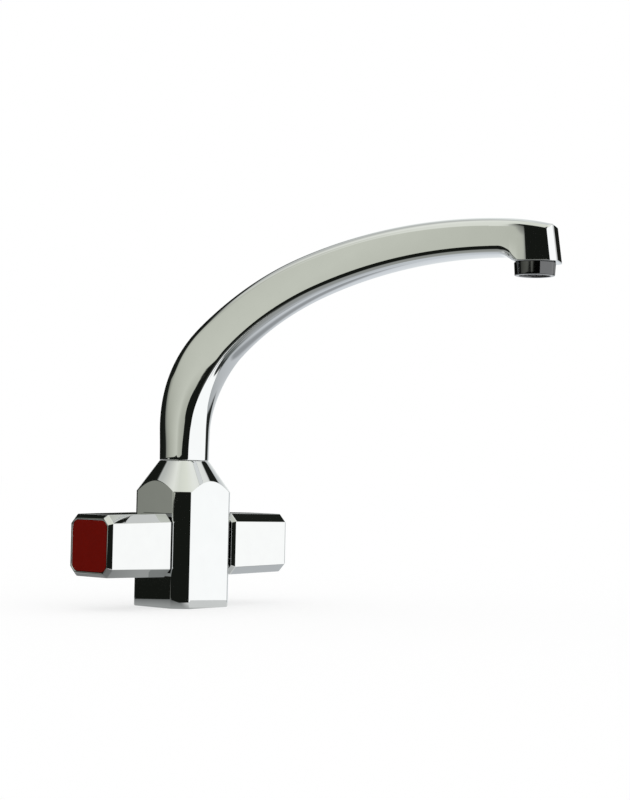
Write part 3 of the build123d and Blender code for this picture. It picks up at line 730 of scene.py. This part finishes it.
def make_handle(side, lay, plate_finish):
    floor = HANDLE_OUT - RECESS
    handle = solid_from_loops(
        f"{side}_handle_casting",
        [
            octagon(HOLLOW_END, WALL),
            octagon(START, INNER_EDGE),
            octagon(START + INNER_EDGE, 0),
            octagon(HANDLE_OUT - END_BEVEL, 0),
            octagon(HANDLE_OUT, END_INSET),
            rounded_square(OPENING, OPENING_CORNER, HANDLE_OUT),
            rounded_square(OPENING, OPENING_CORNER, floor),
        ],
    )
    lay_on(handle, lay)
    soften(handle, EDGE_BUFF, angle=15)
    handle.data.materials.append(chrome_on_zinc)
    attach(handle, f"{side}_control")
    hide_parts(f"{side}_handle")

    outlines = [rounded_square(PLATE, PLATE_CORNER, level) for level in (floor, floor + PLATE_THICK)]
    plate = solid_from_loops(f"{side}_plate", outlines)
    lay_on(plate, lay)
    soften(plate, EDGE_BUFF, angle=40)
    plate.data.materials.append(plate_finish)
    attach(plate, f"{side}_control")
    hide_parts(f"{side}_index_plate")
    print(side, "handle faces:", len(handle.data.polygons))


make_handle("hot", lay_hot, red_acrylic)
make_handle("cold", lay_cold, blue_acrylic)

# %% [markdown]
# ## The aerator
#
# A plated collar screws into the tip and holds a plastic insert whose honeycomb straightens the jet.
# The collar is turned, so its profile is spun round its axis. The honeycomb repeats one cell, which is
# a job for Geometry Nodes: points on a staggered grid, kept inside a circle, with a hexagonal tube
# instanced on each.

# %% Collar of the aerator
SKIRT, TAPER, SKIRT_TALL, BORE, LIP = 12.3, 0.45, 7.8, 10.2, 0.9
THREAD, THREAD_TALL, RIM_ROUND, TOP_CHAMFER, SEAT_GAP = 11.41, 9.0, 0.6, 0.15, 0.05
rim, mouth, seat, thread_top = UNDERSIDE - SKIRT_TALL, BORE - LIP, UNDERSIDE - SEAT_GAP, UNDERSIDE + THREAD_TALL
profile = [(mouth, rim + LIP), (mouth, rim + 0.25), (mouth + 0.08, rim + 0.08), (mouth + 0.25, rim)]
for i in range(9):
    a = math.pi / 2 * i / 8
    profile.append((SKIRT - TAPER - RIM_ROUND * (1 - math.sin(a)), rim + RIM_ROUND * (1 - math.cos(a))))
profile += zip(span(SKIRT - TAPER, SKIRT, 8), span(rim + RIM_ROUND, seat - TOP_CHAMFER, 8))
profile += [(SKIRT - TOP_CHAMFER, seat), (THREAD, seat), (THREAD, thread_top), (BORE, thread_top), (BORE, rim + LIP)]
collar = lathe("aerator_collar", profile, tuple(OUTLET), steps=160)
collar.data.set_sharp_from_angle(angle=math.radians(35))
soften(collar)
collar.data.materials.append(black_chrome)
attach(collar, "swivel_spout")
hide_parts("aerator_housing")
print("collar faces:", len(collar.data.polygons))


# %% One cell of the honeycomb, and the sleeve round it
def hexagon(across_flats, level):
    points = []
    for i in range(6):
        angle = math.radians(60 * i + 30)
        reach = across_flats / 2 / math.cos(math.radians(30))
        points.append((reach * math.cos(angle), reach * math.sin(angle), level))
    return points


PITCH, CELL, MESH_REACH, ROW_COUNT = 2.2, 1.75, 7.8, 11
INSERT_LOW, INSERT_TOP, INSERT_RADIUS, SLEEVE_BORE = 202.45, 211.4, 10.15, 8.6
corners = ((PITCH, INSERT_LOW), (PITCH, INSERT_TOP), (CELL, INSERT_TOP), (CELL, INSERT_LOW))
walls = [hexagon(*corner) for corner in corners]
honeycomb = grid_mesh("aerator_honeycomb", walls + walls[:1])
outward(honeycomb)
sleeve = lathe("aerator_sleeve", plug(INSERT_RADIUS, INSERT_LOW, INSERT_TOP, SLEEVE_BORE))
print("faces of one cell:", len(honeycomb.data.polygons))

# %% Repeat the cell with Geometry Nodes
comb = bpy.data.node_groups.new("staggered cells", "GeometryNodeTree")
KINDS = {"Cell": "Geometry", "Pitch": "Float", "Reach": "Float", "Count": "Int", "Finish": "Material"}
sockets = {}
for name, kind in KINDS.items():
    sockets[name] = comb.interface.new_socket(name, in_out="INPUT", socket_type=f"NodeSocket{kind}").identifier
comb.interface.new_socket("Comb", in_out="OUTPUT", socket_type="NodeSocketGeometry")
given = add(comb, "NodeGroupInput").outputs


def sums(operation, a, b=0.0):
    return add(comb, "ShaderNodeMath", {"operation": operation}, _0=a, _1=b).outputs[0]


row_tall = sums("MULTIPLY", given["Pitch"], math.sqrt(3) / 2)
steps_less_one = sums("SUBTRACT", given["Count"], 1.0)
points = add(
    comb,
    "GeometryNodeMeshGrid",
    Size_X=sums("MULTIPLY", given["Pitch"], steps_less_one),
    Size_Y=sums("MULTIPLY", row_tall, steps_less_one),
    Vertices_X=given["Count"],
    Vertices_Y=given["Count"],
)
place = add(comb, "ShaderNodeSeparateXYZ", _0=add(comb, "GeometryNodeInputPosition").outputs[0])
row = sums("ROUND", sums("DIVIDE", place.outputs["Y"], row_tall))
stagger = sums("MULTIPLY", sums("PINGPONG", row, 1.0), sums("MULTIPLY", given["Pitch"], 0.5))
offset = add(comb, "ShaderNodeCombineXYZ", X=stagger)
rows = add(comb, "GeometryNodeSetPosition", Geometry=points.outputs["Mesh"], Offset=offset.outputs[0])
moved_place = add(comb, "GeometryNodeInputPosition").outputs[0]
from_axis = add(comb, "ShaderNodeVectorMath", {"operation": "LENGTH"}, _0=moved_place)
away = from_axis.outputs["Value"]
outside = add(comb, "FunctionNodeCompare", {"operation": "GREATER_THAN"}, A=away, B=given["Reach"])
kept = add(comb, "GeometryNodeDeleteGeometry", Geometry=rows.outputs[0], Selection=outside.outputs[0])
cells = add(comb, "GeometryNodeInstanceOnPoints", Points=kept.outputs[0], Instance=given["Cell"])
real = add(comb, "GeometryNodeRealizeInstances", Geometry=cells.outputs[0])
dressed = add(comb, "GeometryNodeSetMaterial", Geometry=real.outputs[0], Material=given["Finish"])
add(comb, "NodeGroupOutput", Comb=dressed.outputs[0])

pattern = honeycomb.modifiers.new("staggered cells", "NODES")
pattern.node_group = comb
for name, value in (("Pitch", PITCH * MM), ("Reach", MESH_REACH * MM), ("Count", ROW_COUNT), ("Finish", grey_acetal)):
    pattern[sockets[name]] = value
settle(honeycomb)
joined = bmesh.new()
joined.from_mesh(honeycomb.data)
joined.from_mesh(sleeve.data)
joined.to_mesh(honeycomb.data)
joined.free()
bpy.data.objects.remove(sleeve)
honeycomb.data.transform(Matrix.Translation(OUTLET * MM) @ Matrix.Rotation(SWING, 4, "Z"))
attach(honeycomb, "swivel_spout")
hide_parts("aerator_insert")
print("honeycomb faces:", len(honeycomb.data.polygons))

# %% [markdown]
# ## Studio
#
# The tap stands on a white floor. The world holds the studio that the chrome reflects: a grey card on
# the left, the dark room behind the camera, a large soft white lamp on the right and a light table
# below. Only reflections see it. The camera sees plain white, and everything matt is lit evenly.

# %% Floor
floor_mesh = bpy.data.meshes.new("floor")
HALF, PAPER = 6, 0.35
floor_mesh.from_pydata([(-HALF, -HALF, 0), (HALF, -HALF, 0), (HALF, HALF, 0), (-HALF, HALF, 0)], [], [(0, 1, 2, 3)])
floor = placed("floor", floor_mesh)
material, tree = new_material("white_paper")
path = add(tree, "ShaderNodeLightPath")
matt = add(tree, "ShaderNodeBsdfDiffuse", Color=(PAPER, PAPER, PAPER, 1.0))
to_white = ranged(tree, path.outputs["Is Camera Ray"], 0.0, 1 - PAPER)
glow = add(tree, "ShaderNodeEmission", Color=(1, 1, 1, 1), Strength=to_white)
both = add(tree, "ShaderNodeAddShader", _0=matt.outputs[0], _1=glow.outputs[0])
add(tree, "ShaderNodeOutputMaterial", Surface=both.outputs[0])
floor_mesh.materials.append(material)
floor.visible_glossy = False

# A glowing patch close round the body that only reflections see: a painted reflection of lit paper, which gives the
# light line at the foot. Its glow carries painted light and shade
patch_mesh = bpy.data.meshes.new("painted_reflection_at_foot")
patch_ring = []
reaches = ((-180, 122), (-160, 112), (-138, 77), (-110, 80), (-46, 85), (-25, 58), (0, 42), (60, 50), (110, 100))
for (start, low), (end, high) in zip(reaches, reaches[1:]):
    for i in range(8):
        angle = math.radians(start + (end - start) * i / 8)
        reach = (low + (high - low) * i / 8) * MM
        patch_ring.append((reach * math.cos(angle), reach * math.sin(angle), 0.05 * MM))
patch_mesh.from_pydata(patch_ring, [], [tuple(range(len(patch_ring)))])
patch = placed("painted_reflection_at_foot", patch_mesh)
material, tree = new_material("painted_reflection_of_lit_paper")
PAINTED_LIGHT_TO, PAINTED_SHADE_FROM, MIDDLE_FROM, MIDDLE_TO, RIGHTWARDS = 0.035, 0.13, 0.006, 0.022, (0.67, -0.74, 0)
place = add(tree, "ShaderNodeTexCoord").outputs["Object"]
from_body = add(tree, "ShaderNodeVectorMath", {"operation": "LENGTH"}, _0=place)
painted_shade_share = add(tree, "ShaderNodeMapRange", Value=from_body.outputs["Value"], From_Min=PAINTED_LIGHT_TO, From_Max=PAINTED_SHADE_FROM)
# Painted shade: the glow fades from pale grey near the body to near black further out
painted_fade_left = mixed(tree, painted_shade_share.outputs[0], "#AFB1B0", "#1C1D1C")
to_right = add(tree, "ShaderNodeVectorMath", {"operation": "DOT_PRODUCT"}, _0=place, _1=RIGHTWARDS)
painted_light_share = add(tree, "ShaderNodeMapRange", Value=to_right.outputs["Value"], From_Min=MIDDLE_FROM, From_Max=MIDDLE_TO)
# Painted light: towards the right the glow turns near white
painted_reflection_colour = mixed(tree, painted_light_share.outputs[0], painted_fade_left, "#EEEFEE")
glow = add(tree, "ShaderNodeEmission", Color=painted_reflection_colour, Strength=1.0)
add(tree, "ShaderNodeOutputMaterial", Surface=glow.outputs[0])
patch_mesh.materials.append(material)
patch.visible_camera = False
patch.visible_diffuse = False
patch.visible_shadow = False
patch.visible_transmission = False
print("floor side:", 2 * HALF, "m")

# %% Bearings and heights of what a reflection sees
CAMERA_BEARING = -137.85
world = bpy.data.worlds.new("studio")
bpy.context.scene.world = world
world.use_nodes = True
sky = world.node_tree
sky.nodes.clear()


def reckon(operation, a, b=0.0, c=0.0):
    return add(sky, "ShaderNodeMath", {"operation": operation}, _0=a, _1=b, _2=c).outputs[0]


direction = add(sky, "ShaderNodeTexCoord").outputs["Generated"]
turned = add(
    sky, "ShaderNodeVectorRotate", {"rotation_type": "Z_AXIS"}, Vector=direction, Angle=math.radians(-CAMERA_BEARING)
)
parts = add(sky, "ShaderNodeSeparateXYZ", _0=turned.outputs[0])
bearing = reckon("DEGREES", reckon("ARCTAN2", parts.outputs["Y"], parts.outputs["X"]))
tilt = reckon("DEGREES", reckon("ARCSINE", parts.outputs["Z"]))
print("bearings count from the camera, to the right positive")


# %% Tools to build the studio with
def tones(stops):
    """A colour that changes with the bearing, from (degrees, sRGB hex) stops."""
    ramp = add(sky, "ShaderNodeValToRGB", Fac=reckon("MULTIPLY_ADD", bearing, 1 / 360, 0.5))
    elements = ramp.color_ramp.elements
    elements.remove(elements[0])
    for number, (angle, colour) in enumerate(stops):
        element = elements[0] if number == 0 else elements.new(angle / 360 + 0.5)
        element.position = angle / 360 + 0.5
        element.color = linear(colour)
    return ramp.outputs["Color"]


def beyond(value, other, place, soft):
    """0 before an edge and 1 beyond it. The edge is in degrees, or (degrees, slant)."""
    at, slant = place if isinstance(place, tuple) else (place, 0.0)
    if slant:
        value = reckon("MULTIPLY_ADD", other, -slant, value)
    settings = {"interpolation_type": "SMOOTHSTEP"}
    return add(sky, "ShaderNodeMapRange", settings, Value=value, From_Min=at - soft, From_Max=at + soft).outputs[0]


def card(under, colour, left, right, low, high, soft, fade):
    """Hangs a card, lamp or dark cloth over the studio so far, between two bearings and two heights. Its
    sides are soft and its top and bottom fade by so many degrees."""
    share = beyond(bearing, tilt, left, soft)
    share = reckon("MULTIPLY", share, reckon("SUBTRACT", 1.0, beyond(bearing, tilt, right, soft)))
    share = reckon("MULTIPLY", share, beyond(tilt, bearing, low, fade))
    share = reckon("MULTIPLY", share, reckon("SUBTRACT", 1.0, beyond(tilt, bearing, high, fade)))
    return mixed(sky, share, under, colour)


print("nodes so far:", len(sky.nodes))

# %% [markdown]
# The plate of a tap like this is lit by what stands round it. Each row of CARDS hangs one thing in the
# studio. A large grey card on the left gives the long greenish flank of the spout, a soft lamp on the
# right gives the white faces, and the unlit room behind the camera gives the black bands between them,
# without which chrome looks like dull paint.

# %% Studio
ceiling = tones((
    (-180, "#DDE0DE"), (-150, "#BFC1BF"), (-122, "#B4B6B4"), (-98, "#B4B6B2"), (-72, "#CDCEC8"),
    (-48, "#E3E4DD"), (-20, "#D6D8CE"), (20, "#DDDFD4"), (60, "#E7E8E2"), (108, "#DFE0DD"),
    (122, "#CACBC9"), (150, "#BFC1C2"), (180, "#DDE0DE"),
))
table = tones((
    (-180, "#C3C7CC"), (-140, "#B0B2B3"), (-90, "#999B99"), (-45, "#8C8E89"), (0, "#909290"),
    (60, "#949696"), (120, "#A3A6A8"), (150, "#B4B7BA"), (180, "#C3C7CC"),
))
grey_card = tones((
    (-180, "#151714"), (-94.5, "#1A1C19"), (-91.8, "#4A4C47"), (-90.9, "#7A7C75"), (-79, "#989A90"),
    (-68, "#A8AA9F"), (-54, "#B4B6AB"), (-34, "#C4C6BB"), (-29.2, "#B9BBB0"), (-26, "#B2B4A9"),
    (-20, "#ADAFA4"), (-10, "#A6A89D"),
))
# Colour, left, right, low, high, soft and fade of each; a later one hangs in front of an earlier one
CARDS = (
    # The unlit room behind the tap, on the left
    ("#151714", -165, -104, -9, 44, 4, 2.5),
    ("#1E201D", -185, -155, -9, 5, 3, 2),
    # The soft upper part of the grey card, and the dark gap over its left half
    ("#B6B8AD", -74, -40, -1, 33, 9, 10),
    ("#181A17", -118, -70, 8, (8, -0.33), 9, 4),
    # The unlit room behind the camera, down to the edge of the table, and a dark stand beside it
    ("#4A4C49", -20, 17, -43, -14, 3, 3),
    ("#151714", -56, -14, -49, 2, 4, 6),
    ("#151714", -28, 28, -17.5, 38, 1, 3),
    # The grey card on the left, and darkness below it with one light strip standing in it
    (grey_card, -114, -27.97, (1.6, 0.054), 12.5, 0.05, 0.3),
    ("#141613", -114, -28, -13, (1.6, 0.054), 2, 0.15),
    ("#A4A69F", -80, -70, -9, -3.8, 2, 0.5),
    # The near edge of the grey card
    (grey_card, -40, (-5.5, -4.6), 2.0, 5.5, 1, 0.4),
    (grey_card, -28.6, (-9.6, 1.6), -0.2, 2.6, 0.4, 0.3),
    (grey_card, -28.6, (-11, 6.5), (-7.0, -0.2), 0.2, 0.5, 0.3),
    (grey_card, -31.5, -27.5, (-8.8, -0.27), 2.6, 0.4, 0.3),
    # The soft lamp on the right, with a dark strip below it
    ("#606463", 34, 113, -57, -39, 5, 3),
    ("#303332", 40, 113, -47, -40, 4, 1.5),
    ("#FFFFFF", 22.3, 117.5, -7.5, 19, 0.8, 1.2),
    ("#FFFFFF", (27.5, 0.85), 117.5, -39.8, -5, 1.0, 0.8),
    ("#343736", 106, 121, -43, -33, 1.5, 1.5),
    ("#5C5F5C", -2, 22, -44, (-36.5, 0.3), 3, 1.5),
    # Three dark cloths behind the tap, on the right, and two low shelves
    ("#1A1C19", (88, 0.5), 145, 27, 44.5, 1, 1.5),
    ("#222422", 118.5, 145, -10.5, 2, 2.5, 1.5),
    ("#161815", 144, 161.5, 4, 13.5, 2, 1.5),
    ("#8A8D90", 154, 173, (-58.8, 0.23), (-55.2, 0.23), 2, 1.2),
    ("#8A8D8E", 133, 150, -54, -46.5, 3, 1.5),
)
studio = mixed(sky, beyond(tilt, bearing, -2.0, 14.0), table, ceiling)
for thing in CARDS:
    studio = card(studio, *thing)
print("world nodes:", len(sky.nodes))

# %% Who sees the studio
ray = add(sky, "ShaderNodeLightPath")
STUDIO_STRENGTH = 1.45
seen_studio = add(sky, "ShaderNodeBackground", Color=studio, Strength=STUDIO_STRENGTH)
plain = add(sky, "ShaderNodeBackground", Color=(1, 1, 1, 1), Strength=1.0)
reflected = ray.outputs["Is Glossy Ray"]
choice = add(sky, "ShaderNodeMixShader", _0=reflected, _1=plain.outputs[0], _2=seen_studio.outputs[0])
add(sky, "ShaderNodeOutputWorld", Surface=choice.outputs[0])
print("only reflections see the studio; the camera and matt faces see plain white")

# %% Camera
AZ, EL, ROLL = math.radians(-47.84), math.radians(-2.087), math.radians(1.189)
AIM_RIGHT, AIM_UP, AWAY, FOCAL_PIXELS, PICTURE_TALL, SENSOR = 80.09, 128.51, 1147.4, 1853.1, 800, 36.0
right = Vector((math.cos(AZ), math.sin(AZ), 0))
back = Vector((math.sin(AZ) * math.cos(EL), -math.cos(AZ) * math.cos(EL), math.sin(EL)))
above = back.cross(right)
target = right * AIM_RIGHT + UP * AIM_UP
eye = (target + back * AWAY) * MM
x_axis = right * math.cos(ROLL) + above * math.sin(ROLL)
y_axis = above * math.cos(ROLL) - right * math.sin(ROLL)
camera = placed("camera", bpy.data.cameras.new("camera"))
camera.matrix_world = Matrix((
    (x_axis.x, y_axis.x, back.x, eye.x),
    (x_axis.y, y_axis.y, back.y, eye.y),
    (x_axis.z, y_axis.z, back.z, eye.z),
    (0, 0, 0, 1),
))
camera.data.sensor_width = SENSOR
camera.data.lens = FOCAL_PIXELS / PICTURE_TALL * SENSOR
bpy.context.scene.camera = camera
bpy.context.scene.view_settings.view_transform = "Standard"
print("lens:", round(camera.data.lens, 2), "mm")
